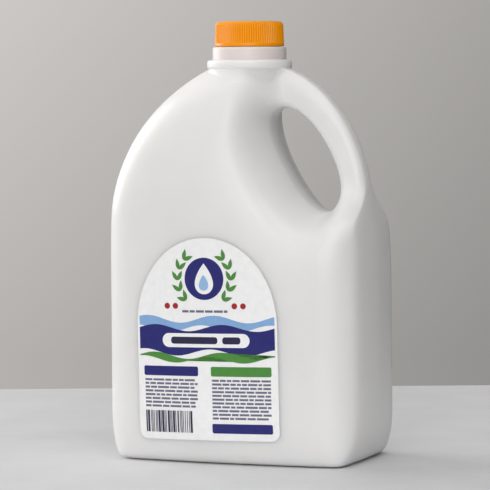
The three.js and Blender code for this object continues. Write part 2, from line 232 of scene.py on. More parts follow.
def recess_depth(x, z):
    """Half the depth of the recess: low at the hole, rising to its rim, but not on the handle's side."""
    along, across = hole_place(x, z)
    from_hole = max(hole_radius(along, across) - 1, HOLE_NEARNESS)
    to_rim = 1 - recess_place(x, z).length
    if to_rim > 0:
        way = from_hole / (from_hole + to_rim)
    else:
        way = min(1 - to_rim / from_hole, RECESS_RUN_ON)
    rise = 1 - (1 - way) ** RECESS_ROLL if way < 1 else way
    side = across / math.hypot(along, across, RECESS_FADE_CORE)
    above = smoothstep(along, -RECESS_FADE_TURN, RECESS_FADE_TURN)
    fade = RECESS_FADE_BELOW.lerp(RECESS_FADE_ABOVE, above)
    share = 1 - smootherstep(side, *fade)
    return RECESS_FLOOR + (HALF_DEPTH - RECESS_FLOOR) * rise * share


def skin_depth(x, z):
    """Half the depth of the skin: the lesser of body and recess, with a soft crease between them."""
    body = body_depth(x, z)
    recess = recess_depth(x, z)
    overlap = max(RECESS_CREASE - abs(body - recess), 0)
    return min(body, recess) - overlap ** 2 / (4 * RECESS_CREASE)


for place, x, z in (("front middle", -9, 72), ("recess floor", 12, 170), ("handle", 59, 180)):
    print(f"half depth at the {place}: {skin_depth(x, z):.1f} mm")

# %% [markdown]
# ## The body's outline
#
# The outline in the front view runs along the base, up the right wall, over the handle, under the collar
# and down the left shoulder. At each station on it, the skin turns from the flat side to the front over a
# rounded edge. That edge is large on the walls, small on the handle and largest on the left shoulder, so
# each station carries its own.

# %% Stations round the outline
BASE_HALF_WIDTH = 74.2
SHOULDER_HALF_WIDTH = 73.8
CORNER_RADIUS = 16.0
SIDE_BOW = 5.0
SIDE_BOW_FADE_Z = (122.0, 182.0)
BASE_EDGE_INSET = 8.2
BASE_EDGE_HEIGHT = 27.7
BASE_CORNER_EASE = 7.0
ARCH_START_Z = 142.0
ARCH_HEIGHT = 87.8
ARCH_POWER = 1.96
ARCH_END = 1.26
SHOULDER_ROUND = 23.8
SHOULDER_ROUND_EXTRA = 8.0
SHOULDER_DROP = 8.0
SHOULDER_DROP_END = 0.35
HANDLE_ARCH_POWER = 2.05
HANDLE_EDGE_RADIUS = 4.6
HANDLE_ROOT_Z = 120.0
HANDLE_FREE_Z = 144.0
HANDLE_TOP_START_Z = 190.0
HANDLE_TOP_REACH = 9.0
HANDLE_WALL = 8.5
COLLAR_RADIUS = 24.55
COLLAR_BOTTOM_Z = 224.9
COLLAR_SINK = 0.3
STEPS = {
    "bottom": 28,
    "corner": 20,
    "wall": 56,
    "handle": 100,
    "top": 28,
    "shoulder": 80,
    "left wall": 24,
}
WALL_BUNCHING = 1.5


@dataclass
class Station:
    """One line of the body's mesh: where it starts on the outline and where its rounded edge ends."""

    outer: Vector
    inner: Vector
    radius: float = 0.0
    most: float = math.inf
    depth: float | None = None
    bow: float = 0.0


def arch_point(angle, arch_power):
    """The arch's outline, from the wall at angle 0 up to the neck. A higher power makes it fuller."""
    power = 2 / arch_power
    x = SHOULDER_HALF_WIDTH * math.cos(angle) ** power
    return Vector((x, ARCH_START_Z + ARCH_HEIGHT * math.sin(angle) ** power))


def side_bow(z):
    """How far the side walls swell out at mid-depth: fully below, not at all on the arch."""
    return SIDE_BOW * (1 - smoothstep(z, *SIDE_BOW_FADE_Z))


def right_edge(z):
    """The rounded edge of the wall and handle at a height: how far in it reaches, and its radius."""
    radius = lerp(CORNER_RADIUS, HANDLE_EDGE_RADIUS, smoothstep(z, HANDLE_ROOT_Z, HANDLE_FREE_Z))
    neck = smoothstep(z, HANDLE_TOP_START_Z, COLLAR_BOTTOM_Z)
    return lerp(radius, HANDLE_TOP_REACH, neck), radius


FLAT_OUTER = BASE_HALF_WIDTH - BASE_EDGE_INSET
FLAT_INNER = BASE_HALF_WIDTH - CORNER_RADIUS - BASE_CORNER_EASE
EASE_TOP_Z = BASE_EDGE_HEIGHT + BASE_CORNER_EASE


def bottom_station(t):
    outer = Vector((lerp(-FLAT_OUTER, FLAT_OUTER, t), 0))
    return Station(outer, Vector((lerp(-FLAT_INNER, FLAT_INNER, t), BASE_EDGE_HEIGHT)), BASE_EDGE_INSET)


def base_corner_station(side, t):
    """A base corner, at the right for side 1 and at the left for side -1, from the base up to the wall."""
    across = math.sin(t * math.pi / 2)
    down = math.cos(t * math.pi / 2)
    outer = Vector((side * (FLAT_OUTER + BASE_EDGE_INSET * across), BASE_EDGE_HEIGHT * (1 - down)))
    inner_x = side * (FLAT_INNER + BASE_CORNER_EASE * across)
    inner = Vector((inner_x, EASE_TOP_Z - BASE_CORNER_EASE * down))
    radius = lerp(BASE_EDGE_INSET, CORNER_RADIUS, smoothstep(t, 0, 1))
    return Station(outer, inner, radius, bow=side * SIDE_BOW * across)


def right_wall_station(t):
    climb = 1 - (1 - t) ** WALL_BUNCHING
    x = lerp(BASE_HALF_WIDTH, SHOULDER_HALF_WIDTH, climb)
    z = lerp(BASE_EDGE_HEIGHT, ARCH_START_Z, climb)
    reach, radius = right_edge(z)
    inner = Vector((x - reach, lerp(EASE_TOP_Z, ARCH_START_Z, climb)))
    return Station(Vector((x, z)), inner, radius, bow=side_bow(z))


def handle_station(t):
    angle = ARCH_END * t
    outer = arch_point(angle, HANDLE_ARCH_POWER)
    reach, radius = right_edge(outer.y)
    inward = Vector((-math.cos(angle) / SHOULDER_HALF_WIDTH, -math.sin(angle) / ARCH_HEIGHT))
    inward.normalize()
    most = HANDLE_WALL if outer.y > HANDLE_TOP_START_Z else math.inf
    return Station(outer, outer + inward * reach, radius, most, bow=side_bow(outer.y))


def top_station(t):
    """Under the collar, where the body's side follows the collar's circle."""
    right = handle_station(1)
    left = shoulder_station(0)
    outer = right.outer.lerp(left.outer, t)
    depth = math.sqrt((COLLAR_RADIUS - COLLAR_SINK) ** 2 - outer.x ** 2)
    return Station(outer, right.inner.lerp(left.inner, t), depth=depth)


def shoulder_station(t):
    arch = arch_point(ARCH_END * (1 - t), ARCH_POWER)
    extra = SHOULDER_ROUND_EXTRA * math.sin(math.pi * math.sqrt(t)) ** 2
    radius = lerp(SHOULDER_ROUND, CORNER_RADIUS, t) + extra
    drop = SHOULDER_DROP * (1 - smoothstep(t, 0, SHOULDER_DROP_END))
    inner = Vector((radius - arch.x, arch.y - drop))
    return Station(Vector((-arch.x, arch.y)), inner, radius, bow=-side_bow(arch.y))


def left_wall_station(t):
    x = lerp(SHOULDER_HALF_WIDTH, BASE_HALF_WIDTH, t)
    outer = Vector((-x, lerp(ARCH_START_Z, BASE_EDGE_HEIGHT, t)))
    inner = Vector((CORNER_RADIUS - x, lerp(ARCH_START_Z, EASE_TOP_Z, t)))
    return Station(outer, inner, CORNER_RADIUS, bow=-side_bow(outer.y))


def outline_stations():
    """All stations, anticlockwise in the front view from the left end of the base."""
    stretches = (
        ("bottom", bottom_station),
        ("corner", lambda t: base_corner_station(1, t)),
        ("wall", right_wall_station),
        ("handle", handle_station),
        ("top", top_station),
        ("shoulder", shoulder_station),
        ("left wall", left_wall_station),
        ("corner", lambda t: base_corner_station(-1, 1 - t)),
    )
    return [make(k / STEPS[name]) for name, make in stretches for k in range(STEPS[name])]


stations = outline_stations()
print("stations on the outline:", len(stations))

# %% [markdown]
# ## The body's mesh
#
# From each station a line of points runs over the rounded edge, across the face, through the recess and
# into the hole. Neighbouring lines give rings, and the rings close through the hole into one surface,
# like a stretched ring doughnut. The back half mirrors the front. A light smoothing then melts the places
# where two formulas meet, as the blown plastic does in its mould. Where the mould's halves met, a thin
# seam stands out along the middle of the sides.

# %% Rings from the outline to the hole
HOLE_LAND = 6.4
HOLE_EDGE_RADIUS = 3.0
HOLE_LINE_STRETCH = 1.5
HOLE_LINE_EVENING = 0.15
RIM_LINE_LIMIT = 0.85
SEAM_HALF_WIDTH = 0.5
SEAM_HEIGHT = 0.16
SEAM_FADE_Z = (8.0, 26.0)
WALL_SHARES = (0.25, 0.5, 0.75)
FILLET_STEPS = 14
FACE_STEPS = 24
RECESS_STEPS = 30
EDGE_STEPS = 8
SMOOTHING_ROUNDS = 10


def signed_power(value, power):
    return math.copysign(abs(value) ** power, value)


def hole_point(angle, grow):
    """A point on the hole's outline, or on that outline grown outward."""
    u = signed_power(math.cos(angle), 2 / HOLE_POWER)
    v = signed_power(math.sin(angle), 2 / HOLE_POWER)
    along = (HOLE_HALF_LENGTH + grow) * u
    across = (HOLE_HALF_WIDTH + grow) * v + HOLE_BEND * (1 - u * u)
    x = across * math.cos(HOLE_TILT) - along * math.sin(HOLE_TILT)
    z = across * math.sin(HOLE_TILT) + along * math.cos(HOLE_TILT)
    return HOLE_CENTRE + Vector((x, z))


def hole_angles():
    """The hole's angle at each station: mostly the way the station lies, partly an even share."""
    angles = []
    for station in stations:
        along, across = hole_place(*station.outer)
        angles.append(math.atan2(across * HOLE_LINE_STRETCH, along))
    angles = np.unwrap(angles)
    whole_turn = math.copysign(2 * math.pi, angles[-1] - angles[0])
    even = whole_turn * np.arange(len(angles)) / len(angles)
    even += np.mean(angles - even)
    return lerp(angles, even, HOLE_LINE_EVENING)


def rim_point(start, end):
    """Where a line from the hole to the face's edge meets the recess's rim, or a set share of the way."""
    first = recess_place(*start)
    run = recess_place(*end) - first
    b = first.dot(run)
    c = first.length_squared - 1
    crossing = (-b + math.sqrt(b * b - run.length_squared * c)) / run.length_squared
    return start.lerp(end, min(crossing, RIM_LINE_LIMIT))


def on_skin(start, end, t):
    x, z = start.lerp(end, t)
    return [x, skin_depth(x, z), z]


def on_edge(start, end, side, turn):
    """A point on a rounded edge: from a flat side at a given depth, round on to the skin."""
    point = on_skin(start, end, 1 - math.cos(turn))
    point[1] = lerp(side, point[1], math.sin(turn))
    return point


def body_line(station, angle):
    """One line of points from the outline to the hole, as (x, half depth, z)."""
    outer = station.outer
    inner = station.inner
    hole = hole_point(angle, 0)
    lip = hole_point(angle, HOLE_EDGE_RADIUS)
    rim = rim_point(lip, inner)
    full = skin_depth(*inner)
    wall = station.depth
    if wall is None:
        wall = clamp(full - station.radius, 0.0, station.most)
    quarter = math.pi / 2
    seam = min(SEAM_HALF_WIDTH, wall)
    line = [[outer.x, 0, outer.y], [outer.x, seam, outer.y]]
    line += [[outer.x, lerp(seam, wall, share), outer.y] for share in WALL_SHARES]
    line += [on_edge(outer, inner, wall, quarter * k / FILLET_STEPS) for k in range(FILLET_STEPS + 1)]
    bow = station.bow * (full / HALF_DEPTH) ** 2
    for point in line:
        point[0] += bow * (1 - min(point[1] / full, 1) ** 2)
    line += [on_skin(inner, rim, k / FACE_STEPS) for k in range(1, FACE_STEPS + 1)]
    line += [on_skin(rim, lip, k / RECESS_STEPS) for k in range(1, RECESS_STEPS + 1)]
    for k in reversed(range(EDGE_STEPS)):
        line.append(on_edge(hole, lip, HOLE_LAND, quarter * k / EDGE_STEPS))
    line += [[hole.x, HOLE_LAND * share, hole.y] for share in reversed(WALL_SHARES)]
    line += [[hole.x, SEAM_HALF_WIDTH, hole.y], [hole.x, 0, hole.y]]
    return line


def body_grid():
    """The whole skin as an array of rings, front half first."""
    lines = [body_line(station, angle) for station, angle in zip(stations, hole_angles())]
    front = np.array(lines).swapaxes(0, 1)
    back = front[-2:0:-1].copy()
    front[:, :, 1] *= -1
    return np.concatenate((front, back))


def smoothed(grid, rounds):
    """Moves every point of a closed grid halfway to the middle of its four neighbours, a number of times."""
    for _ in range(rounds):
        around = sum(np.roll(grid, step, axis) for axis in (0, 1) for step in (-1, 1))
        grid = 0.5 * grid + 0.125 * around
    return grid


def raise_seam(grid):
    """Lifts the rings on the mould's parting plane off the skin, but not where the jug stands."""
    hole_row = len(grid) // 2
    for row in (0, hole_row):
        ring = grid[row, :, ::2]
        along = np.roll(ring, -1, axis=0) - np.roll(ring, 1, axis=0)
        outward = np.stack((along[:, 1], -along[:, 0]), axis=1)
        outward /= np.linalg.norm(outward, axis=1, keepdims=True)
        if row == hole_row:
            outward = -outward
        fade = np.array([smoothstep(z, *SEAM_FADE_Z) for z in ring[:, 1]])
        grid[row, :, ::2] += outward * (SEAM_HEIGHT * fade)[:, None]
    return grid


body_points = raise_seam(smoothed(body_grid(), SMOOTHING_ROUNDS))
body_mesh = clean_mesh(grid_mesh("jug_body", body_points.tolist(), close_rows=True))
print("body:", len(body_mesh.vertices), "points,", len(body_mesh.polygons), "faces")

# %% [markdown]
# ## The neck
#
# Collar, ring and finish are turned about one axis, so the neck is a profile spun round. Screw or Spin
# would do the same. The grid helper is used again, because a boolean then joins the neck to the body, and
# it wants clean quads.

# %% Collar, ring and finish
NECK_ROOT_Z = 210.0
NECK_ROOT_RADIUS = 21.0
COLLAR_TOP_Z = 230.2
COLLAR_ROUND = 1.5
NECK_RING_RADIUS = 21.35
NECK_RING_TOP_Z = 237.7
NECK_RING_ROUND = 1.0
NECK_FOOT_ROUND = 0.5
FINISH_RADIUS = 18.2
FINISH_TOP_Z = 250.4
NECK_SEGMENTS = 160
ARC_STEPS = 6


def arc(centre_r, centre_z, radius, start_degrees, end_degrees, steps=ARC_STEPS):
    """Points (radius, height) along an arc of a turned profile."""
    points = []
    for k in range(steps + 1):
        angle = math.radians(lerp(start_degrees, end_degrees, k / steps))
        points.append((centre_r + radius * math.cos(angle), centre_z + radius * math.sin(angle)))
    return points


def turned_mesh(name, profile, segments):
    """A profile of (radius, height) turned about the Z axis."""
    angles = [2 * math.pi * k / segments for k in range(segments)]
    rows = [[(r * math.cos(a), r * math.sin(a), z) for a in angles] for r, z in profile]
    return grid_mesh(name, rows)


def neck_profile():
    collar_in = COLLAR_RADIUS - COLLAR_ROUND
    foot = NECK_RING_RADIUS + NECK_FOOT_ROUND
    ring_in = NECK_RING_RADIUS - NECK_RING_ROUND
    return [
        (0, NECK_ROOT_Z),
        (NECK_ROOT_RADIUS, NECK_ROOT_Z),
        (collar_in, COLLAR_BOTTOM_Z),
        *arc(collar_in, COLLAR_BOTTOM_Z + COLLAR_ROUND, COLLAR_ROUND, -90, 0),
        *arc(collar_in, COLLAR_TOP_Z - COLLAR_ROUND, COLLAR_ROUND, 0, 90),
        *arc(foot, COLLAR_TOP_Z + NECK_FOOT_ROUND, NECK_FOOT_ROUND, 270, 180),
        *arc(ring_in, NECK_RING_TOP_Z - NECK_RING_ROUND, NECK_RING_ROUND, 0, 90),
        (FINISH_RADIUS, NECK_RING_TOP_Z),
        (FINISH_RADIUS, FINISH_TOP_Z),
        (0, FINISH_TOP_Z),
    ]


def joined(body, tool):
    """The union of two meshes, as a new mesh with the first one's name."""
    base = bpy.data.objects.new("base", body)
    other = bpy.data.objects.new("other", tool)
    for work in (base, other):
        bpy.context.scene.collection.objects.link(work)
    union = base.modifiers.new("union", "BOOLEAN")
    union.operation = "UNION"
    union.solver = "MANIFOLD"
    union.object = other
    evaluated = base.evaluated_get(bpy.context.evaluated_depsgraph_get())
    result = bpy.data.meshes.new_from_object(evaluated)
    result.materials.clear()
    bpy.data.objects.remove(base)
    bpy.data.objects.remove(other)
    bpy.data.meshes.remove(body)
    bpy.data.meshes.remove(tool)
    return result


neck_mesh = clean_mesh(turned_mesh("neck", neck_profile(), NECK_SEGMENTS))
jug_mesh = clean_mesh(joined(body_mesh, neck_mesh))
jug_mesh.name = "jug_body"
jug = add_piece(jug_mesh, "jug", "jug")
print("jug:", len(jug_mesh.polygons), "faces,", [round(side / MM, 1) for side in jug.dimensions], "mm")

# %% [markdown]
# ## The cap
#
# The cap is an injection-moulded cup with a ring of fine grip ribs, a plain lip below and a rounded top
# edge. Each rib is a half wave on the wall's radius. An array of rib meshes would give the same look, but
# one wavy wall has no hidden faces and shades smoothly.

# %% A ribbed cap
CAP_RADIUS = 20.0
CAP_TOP_Z = 252.4
CAP_GAP = 0.3
CAP_BOTTOM_Z = NECK_RING_TOP_Z + CAP_GAP
CAP_TOP_ROUND = 2.6
CAP_TOP_THICKNESS = 1.7
CAP_TOP_DISH = 0.35
CAP_LIP_HEIGHT = 1.5
CAP_LIP_ROUND = 0.35
CAP_BORE_RADIUS = 18.5
CAP_TAPER = 0.35
CAP_RIBS = 90
CAP_RIB_DEPTH = 0.45
RIB_COLUMNS = 8
RIB_EASE = 0.6
RIB_STEPS = 4
LIP_STEPS = 3
TOP_STEPS = 8
DISH_RIM = 0.93
DISH_FLOOR = 0.86
DISH_SHARES = (DISH_RIM, 0.9, DISH_FLOOR, 0.5)


def cap_row(radius, z, rib_depth=0.0):
    """One turn round the cap, with ribs of a given depth."""
    row = []
    for k in range(CAP_RIBS * RIB_COLUMNS):
        angle = 2 * math.pi * k / (CAP_RIBS * RIB_COLUMNS)
        groove = rib_depth * (1 - abs(math.sin(0.5 * CAP_RIBS * angle)))
        row.append(((radius - groove) * math.cos(angle), (radius - groove) * math.sin(angle), z))
    return row


def cap_rows():
    lip_top_z = CAP_BOTTOM_Z + CAP_LIP_HEIGHT
    rib_top_z = CAP_TOP_Z - CAP_TOP_ROUND
    top_radius = CAP_RADIUS - CAP_TAPER
    lip_in = CAP_RADIUS - CAP_LIP_ROUND
    under_z = CAP_TOP_Z - CAP_TOP_THICKNESS
    rows = [cap_row(0, under_z)]
    rows.append(cap_row(CAP_BORE_RADIUS, under_z))
    rows.append(cap_row(CAP_BORE_RADIUS, CAP_BOTTOM_Z))
    for r, z in arc(lip_in, CAP_BOTTOM_Z + CAP_LIP_ROUND, CAP_LIP_ROUND, -90, 0, LIP_STEPS):
        rows.append(cap_row(r, z))
    rows.append(cap_row(CAP_RADIUS, lip_top_z))
    for k in range(1, RIB_STEPS + 1):
        t = k / RIB_STEPS
        rows.append(cap_row(CAP_RADIUS, lip_top_z + RIB_EASE * t, CAP_RIB_DEPTH * smoothstep(t, 0, 1)))
    for k in range(1, RIB_STEPS + 1):
        t = k / RIB_STEPS
        z = lerp(lip_top_z + RIB_EASE, rib_top_z, t)
        rows.append(cap_row(lerp(CAP_RADIUS, top_radius, t), z, CAP_RIB_DEPTH))
    for k in range(1, TOP_STEPS + 1):
        turn = math.pi / 2 * k / TOP_STEPS
        r = top_radius - CAP_TOP_ROUND * (1 - math.cos(turn))
        z = rib_top_z + CAP_TOP_ROUND * math.sin(turn)
        rows.append(cap_row(r, z, CAP_RIB_DEPTH * math.cos(turn) ** 2))
    for share in DISH_SHARES:
        dish = CAP_TOP_DISH * smoothstep(share, DISH_RIM, DISH_FLOOR)
        rows.append(cap_row((top_radius - CAP_TOP_ROUND) * share, CAP_TOP_Z - dish))
    rows.append(cap_row(0, CAP_TOP_Z - CAP_TOP_DISH))
    return rows


cap_mesh = clean_mesh(grid_mesh("screw_cap", cap_rows()))
cap = add_piece(cap_mesh, "cap", "cap")
print("cap:", len(cap_mesh.polygons), "faces,", CAP_RIBS, "ribs")

# %% [markdown]
# ## The label
#
# The label is a thin film with an arched top, stuck to the bowed front a little off the level. It is laid
# out flat, in millimetres across and up from its middle, and one function wraps any flat point on to the
# jug's skin. The film uses that function, and so does the print, so both follow the same curve.
# Shrinkwrap could do this too, but the skin's formula is exact.

# %% A film wrapped on the front
LABEL_CENTRE_X = -9.1
LABEL_HALF_WIDTH = 43.3
LABEL_BOTTOM_Z = 14.4
LABEL_SPRING_Z = 80.0
LABEL_TOP_Z = 129.7
LABEL_MIDDLE_Z = (LABEL_BOTTOM_Z + LABEL_TOP_Z) / 2
LABEL_CORNER_RADIUS = 5.0
LABEL_TURN = math.radians(1.0)
FILM_LIFT = 0.35
FILM_SINK = 0.1
LABEL_COLUMNS = 96
LABEL_ROWS = 64


def front_depth(x, z):
    """Half the depth of the skin on the front, where the lower edge is rounded in."""
    drop = clamp(1 - z / BASE_EDGE_HEIGHT, 0.0, 1.0)
    return skin_depth(x, z) - BASE_EDGE_INSET * (1 - math.sqrt(1 - drop * drop))


def on_label(across, up, lift):
    """A flat point of the label, wrapped on to the jug and lifted off its skin."""
    x = LABEL_CENTRE_X + across * math.cos(LABEL_TURN) - up * math.sin(LABEL_TURN)
    z = LABEL_MIDDLE_Z + across * math.sin(LABEL_TURN) + up * math.cos(LABEL_TURN)
    return (x, -front_depth(x, z) - lift, z)


def label_edges(across):
    """The label's lower and upper edge at a place across it, in flat millimetres."""
    beyond = max(abs(across) - (LABEL_HALF_WIDTH - LABEL_CORNER_RADIUS), 0)
    corner = LABEL_CORNER_RADIUS - math.sqrt(max(LABEL_CORNER_RADIUS ** 2 - beyond ** 2, 0))
    bend = math.sqrt(max(1 - (across / LABEL_HALF_WIDTH) ** 2, 0))
    rise = (LABEL_TOP_Z - LABEL_SPRING_Z) * bend
    return LABEL_BOTTOM_Z + corner - LABEL_MIDDLE_Z, LABEL_SPRING_Z + rise - LABEL_MIDDLE_Z


def film_rows():
    """Loops up the label: each goes across the outer face and comes back along the inner face."""
    turns = [math.pi * (k / LABEL_COLUMNS - 0.5) for k in range(LABEL_COLUMNS + 1)]
    places = [LABEL_HALF_WIDTH * math.sin(turn) for turn in turns]
    rows = []
    for r in range(LABEL_ROWS + 1):
        flat = [(place, lerp(*label_edges(place), r / LABEL_ROWS)) for place in places]
        outer = [on_label(across, up, FILM_LIFT) for across, up in flat]
        inner = [on_label(across, up, -FILM_SINK) for across, up in reversed(flat)]
        rows.append(outer + inner)
    return rows


def film_mesh():
    rows = film_rows()
    mesh = grid_mesh("label_film", rows)
    work = bmesh.new()
    work.from_mesh(mesh)
    work.verts.ensure_lookup_table()
    last = len(rows[0]) - 1
    for first in (0, LABEL_ROWS * len(rows[0])):
        for k in range(LABEL_COLUMNS):
            corners = (first + k, first + k + 1, first + last - k - 1, first + last - k)
            work.faces.new([work.verts[corner] for corner in corners])
    work.to_mesh(mesh)
    work.free()
    return clean_mesh(mesh)


film = add_piece(film_mesh(), "label", "label")
print("label:", [round(side / MM, 1) for side in film.dimensions], "mm")

# %% [markdown]
# ## The print
#
# A printed label is coloured ink in flat fields. A picture texture is the usual way, but shapes made of
# mesh stay sharp at any size. Each ink is one piece: its outlines are drawn flat, filled, cut into small
# facets so that they can follow the curve, and wrapped with a hair's thickness. The design is a plain
# dairy one: a drop in a roundel between two sprigs, a band of waves, and ruled panels below.

# %% Outlines in flat label millimetres
DISC_POINTS = 72
DROP_POINTS = 60
DROP_FULLNESS = 0.42
LEAF_POINTS = 12
LEAF_SKEW = 0.8
LEAF_STALK = 0.25
WAVES = 2.0
WAVE_LEAD = 0.18
WAVE_MARGIN = 1.4
WAVE_POINTS = 96


def rounded_box(left, low, right, high, corner=0.0):
    """A box with rounded corners."""
    if corner == 0.0:
        return [(left, low), (right, low), (right, high), (left, high)]
    corners = (
        (right - corner, low + corner, -90),
        (right - corner, high - corner, 0),
        (left + corner, high - corner, 90),
        (left + corner, low + corner, 180),
    )
    return [point for a, b, start in corners for point in arc(a, b, corner, start, start + 90)]


def disc(across, up, radius):
    return arc(across, up, radius, 0, 360 * (1 - 1 / DISC_POINTS), DISC_POINTS - 1)


def drop(across, up, height):
    """A drop with its point up."""
    points = []
    for k in range(DROP_POINTS):
        angle = 2 * math.pi * k / DROP_POINTS
        half_width = DROP_FULLNESS * height * math.sin(angle) * math.sin(angle / 2)
        points.append((across + half_width, up + 0.5 * height * math.cos(angle)))
    return points


def leaf(across, up, length, width, tilt_degrees):
    """A pointed leaf that starts a stalk away from a place and runs the way of its tilt."""
    shares = [k / LEAF_POINTS for k in range(LEAF_POINTS + 1)]
    upper = [(LEAF_STALK + length * t, 0.5 * width * math.sin(math.pi * t ** LEAF_SKEW)) for t in shares]
    lower = [(along, -aside) for along, aside in upper[1:-1]]
    turn = Matrix.Rotation(math.radians(tilt_degrees), 2)
    return [tuple(Vector((across, up)) + turn @ Vector(point)) for point in lower + upper[::-1]]


def wave_band(low, high, swing, shift):
    """A band across the label whose edges are waves, the lower one a little ahead."""
    reach = LABEL_HALF_WIDTH - WAVE_MARGIN
    places = [lerp(-reach, reach, k / WAVE_POINTS) for k in range(WAVE_POINTS + 1)]

    def wave(place, level, phase):
        return level + swing * math.sin(2 * math.pi * (WAVES * place / (2 * reach) + phase))

    upper = [(place, wave(place, high, shift)) for place in places]
    lower = [(place, wave(place, low, shift + WAVE_LEAD)) for place in places]
    return lower + upper[::-1]


print("points in a drop's outline:", len(drop(0, 0, 10)))

# %% Inks as thin wrapped meshes
INK_THICKNESS = 0.06
INK_LAYER = 0.05
INK_WELD = 0.0005
CUT_ACROSS = 3.0
CUT_UP = 2.5
CUT_NEARNESS = 1e-5


def cut_in_strips(work, normal, step):
    """Cuts all faces by evenly spaced lines, so that they can follow the jug's curve."""
    most = int((LABEL_TOP_Z - LABEL_BOTTOM_Z) / step)
    for k in range(-most, most + 1):
        everything = work.verts[:] + work.edges[:] + work.faces[:]
        place = normal * step * k
        bmesh.ops.bisect_plane(work, geom=everything, dist=CUT_NEARNESS, plane_co=place, plane_no=normal)


def ordered_mesh(name, work):
    """A mesh from a work mesh, with its points and faces in an order that is the same every run."""
    points = sorted({tuple(vert.co) for vert in work.verts})
    index = {point: k for k, point in enumerate(points)}
    faces = set()
    for face in work.faces:
        corners = list(dict.fromkeys(index[tuple(vert.co)] for vert in face.verts))
        first = corners.index(min(corners))
        if len(corners) > 2:
            faces.add((*corners[first:], *corners[:first]))
    mesh = bpy.data.meshes.new(name)
    mesh.from_pydata(points, [], sorted(faces))
    return mesh


def ink_piece(name, layer, outlines):
    """One ink: flat outlines filled, cut into facets, given a thickness and wrapped on the label."""
    work = bmesh.new()
    for outline in outlines:
        work.faces.new([work.verts.new((across, up, 0)) for across, up in outline])
    bmesh.ops.triangulate(work, faces=work.faces[:])
    cut_in_strips(work, Vector((1, 0, 0)), CUT_ACROSS)
    cut_in_strips(work, Vector((0, 1, 0)), CUT_UP)
    for element in bmesh.ops.extrude_face_region(work, geom=work.faces[:])["geom"]:
        if isinstance(element, bmesh.types.BMVert):
            element.co.z = INK_THICKNESS
    lift = FILM_LIFT + INK_LAYER * layer - INK_THICKNESS
    for vert in work.verts:
        vert.co = Vector(on_label(vert.co.x, vert.co.y, lift + vert.co.z)) * MM
    mesh = ordered_mesh(name, work)
    work.free()
    return add_piece(clean_mesh(mesh, INK_WELD), "label")


print("ink layers every", INK_LAYER, "mm")

# %% [markdown]
# The lower panels stand for the small print that such a label is full of. They are ruled lines and short
# bars, whose lengths come from a seeded draw, and none of them is a letter.

# %% The label's design
ROUNDEL = Vector((0.0, 34.5))
ROUNDEL_RADIUS = 12.0
LEAF_RING = 16.5
LEAF_LENGTH = 6.2
LEAF_WIDTH = 2.4
LEAF_DEGREES = (-48, -26, -4, 18, 40)
LEAF_LEANS = (28, -30)
BAR_SEED = 7
BAR_LENGTHS = (2.0, 7.5)
BAR_GAP = 0.7
BAR_LEAST = 1.5
STRIPE_WIDTHS = (0.4, 0.4, 0.8, 1.2)
STRIPE_GAPS = (0.4, 0.5, 0.9)
STRIPE_LEAST = 1.0


def sprig_leaves():
    """Leaves on both sides of the roundel, in pairs along an arc."""
    leaves = []
    for side in (1, -1):
        for degrees in LEAF_DEGREES:
            angle = math.radians(degrees)
            place = ROUNDEL + LEAF_RING * Vector((math.cos(angle), math.sin(angle)))
            for lean in LEAF_LEANS:
                outline = leaf(place.x, place.y, LEAF_LENGTH, LEAF_WIDTH, degrees + 90 - lean)
                leaves.append([(side * across, up) for across, up in outline][::side])
    return leaves


def bar_lines(left, right, top, lines, pitch, height, draw):
    """Ruled lines of short bars, as small print looks from a step away."""
    bars = []
    for line in range(lines):
        high = top - pitch * line
        place = left
        while place < right - BAR_LEAST:
            end = min(place + draw.uniform(*BAR_LENGTHS), right)
            bars.append(rounded_box(place, high - height, end, high))
            place = end + BAR_GAP
    return bars


def stripe_code(left, right, low, high, draw):
    """Upright stripes of mixed widths."""
    stripes = []
    place = left
    while place < right - STRIPE_LEAST:
        width = draw.choice(STRIPE_WIDTHS)
        stripes.append(rounded_box(place, low, place + width, high))
        place += width + draw.choice(STRIPE_GAPS)
    return stripes


print("leaves:", len(sprig_leaves()))

# %% Fields of each ink
PANEL_HEAD = (-21.0, -15.5)
PANEL_FOOT = (-53.5, -48.0)
PANEL_ROUND = 1.0
LEFT_PANEL = (-39.5, -5.0)
RIGHT_PANEL = (3.0, 39.5)
SMALL_PRINT_TOP = -22.8
SMALL_PRINT_PITCH = 2.15
SMALL_PRINT_HEIGHT = 1.15
DOTS_ACROSS = (-23.5, -18.3, 18.3, 23.5)
DOTS_UP = 19.0
DOT_RADIUS = 1.7


def panel_bar(panel, heights):
    """A bar of a panel's width, at the head or the foot of it."""
    return rounded_box(panel[0], heights[0], panel[1], heights[1], PANEL_ROUND)


def small_print(left, right, lines):
    return bar_lines(left, right, SMALL_PRINT_TOP, lines, SMALL_PRINT_PITCH, SMALL_PRINT_HEIGHT, draw)


draw = random.Random(BAR_SEED)
navy_shapes = [
    disc(*ROUNDEL, ROUNDEL_RADIUS),
    wave_band(-7.5, 6.5, 1.9, 0.0),
    panel_bar(RIGHT_PANEL, PANEL_FOOT),
    panel_bar(LEFT_PANEL, PANEL_HEAD),
]
sky_shapes = [wave_band(6.0, 11.5, 2.1, 0.12)]
white_shapes = [drop(*ROUNDEL, 17.5), rounded_box(-27, -4.6, 27, 3.4, 4.0)]
inner_drop = drop(ROUNDEL.x - 0.2, ROUNDEL.y - 2.2, 9.0)
green_shapes = [
    *sprig_leaves(),
    panel_bar(RIGHT_PANEL, PANEL_HEAD),
    wave_band(-11.5, -9.3, 1.9, 0.02),
]
red_shapes = [disc(across, DOTS_UP, DOT_RADIUS) for across in DOTS_ACROSS]
dark_shapes = [
    rounded_box(-21.5, -2.6, 7.5, 1.4, 1.6),
    rounded_box(10.5, -2.6, 21.5, 1.4, 1.6),
    *stripe_code(-39, -8, -53.5, -41.0, draw),
]
